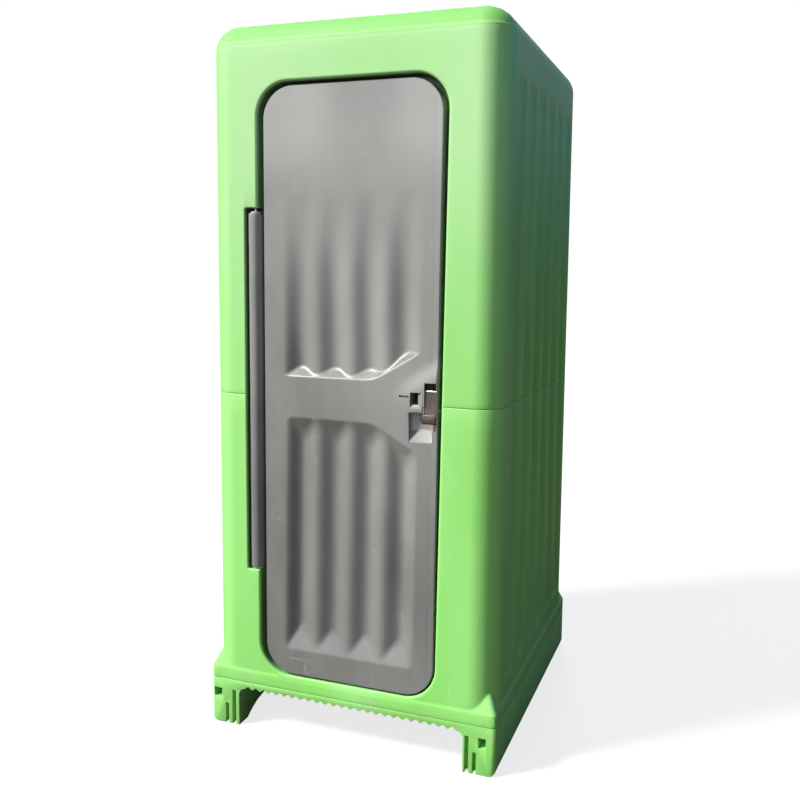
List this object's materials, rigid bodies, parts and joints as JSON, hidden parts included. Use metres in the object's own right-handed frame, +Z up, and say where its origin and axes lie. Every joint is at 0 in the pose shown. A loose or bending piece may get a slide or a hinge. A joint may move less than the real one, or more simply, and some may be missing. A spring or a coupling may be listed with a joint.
{
  "type": "portable toilet cabin",
  "caption": "Free-standing one-person toilet cabin of moulded plastic: fluted shells on a skid base, side-hung corrugated door, bench tank with lid, urinal and vent stack.",
  "frame": {"origin": "on the ground at the middle of the cabin's footprint", "axes": "+Z up, -Y out of the front with the door, +X to the right of someone facing the door"},
  "size_m": [1, 1.05, 2.372],
  "materials": {
    "green_polyethylene": "lime green moulded polyethylene, satin, light surface texture",
    "grey_polyethylene": "mid grey moulded polyethylene, satin",
    "stainless_steel": "pressed stainless sheet, weathered brown-grey",
    "zinc_steel": "zinc-plated steel",
    "nylon": "natural nylon",
    "black_plastic": "black injection-moulded plastic",
    "tank_polyethylene": "dark grey moulded polyethylene",
    "seat_plastic": "black glossy seat plastic",
    "pipe_pvc": "grey PVC pipe",
    "white_plastic": "white glossy plastic",
    "flag_plastic": "green and red indicator plastic",
    "rubber": "black rubber"
  },
  "bodies": {
    "cabin": {"base": "green_polyethylene", "base_bolt_left_front": "zinc_steel", "base_bolt_left_rear": "zinc_steel", "base_bolt_right_front": "zinc_steel", "base_bolt_right_rear": "zinc_steel", "bolt_keeper": "zinc_steel", "door_bumper_lower": "rubber", "door_bumper_upper": "rubber", "hinge_bush_lower": "nylon", "hinge_bush_upper": "nylon", "hinge_rod": "zinc_steel", "latch_strike": "zinc_steel", "lid_hinge_rod": "zinc_steel", "lower_shell": "green_polyethylene", "paper_bar": "zinc_steel", "paper_holder": "black_plastic", "pipe_clip_lower": "black_plastic", "pipe_clip_upper": "black_plastic", "roof_seal": "rubber", "seam_bolt_left_front": "zinc_steel", "seam_bolt_left_rear": "zinc_steel", "seam_bolt_rear_left": "zinc_steel", "seam_bolt_rear_right": "zinc_steel", "seam_bolt_right_front": "zinc_steel", "seam_bolt_right_rear": "zinc_steel", "seat_ring": "seat_plastic", "upper_shell": "green_polyethylene", "urinal": "white_plastic", "urinal_drain": "pipe_pvc", "vent_cap": "pipe_pvc", "vent_grille": "black_plastic", "vent_pipe": "pipe_pvc", "waste_tank": "tank_polyethylene"},
    "door": {"door": "grey_polyethylene", "latch_case": "black_plastic", "pull_handle": "black_plastic", "coat_hook": "zinc_steel"},
    "latch": {"latch_plate": "stainless_steel"},
    "bolt": {"privacy_bolt": "zinc_steel", "bolt_knob": "black_plastic", "indicator_flag": "flag_plastic"},
    "lid": {"seat_lid": "seat_plastic"}
  },
  "joints": [
    {"name": "door_hinge", "type": "hinge", "parent": "cabin", "child": "door", "pos_m": [-0.33, -0.5, 1.1335], "axis": [0, 0, -1], "range_deg": [0, 110]},
    {"name": "latch_lift", "type": "slide", "parent": "door", "child": "latch", "axis": [0, 0, 1], "range_m": [0, 0.022]},
    {"name": "bolt_slide", "type": "slide", "parent": "door", "child": "bolt", "axis": [1, 0, 0], "range_m": [0, 0.028]},
    {"name": "lid_hinge", "type": "hinge", "parent": "cabin", "child": "lid", "pos_m": [0, 0.432, 0.655], "axis": [-1, 0, 0], "range_deg": [0, 95]}
  ]
}
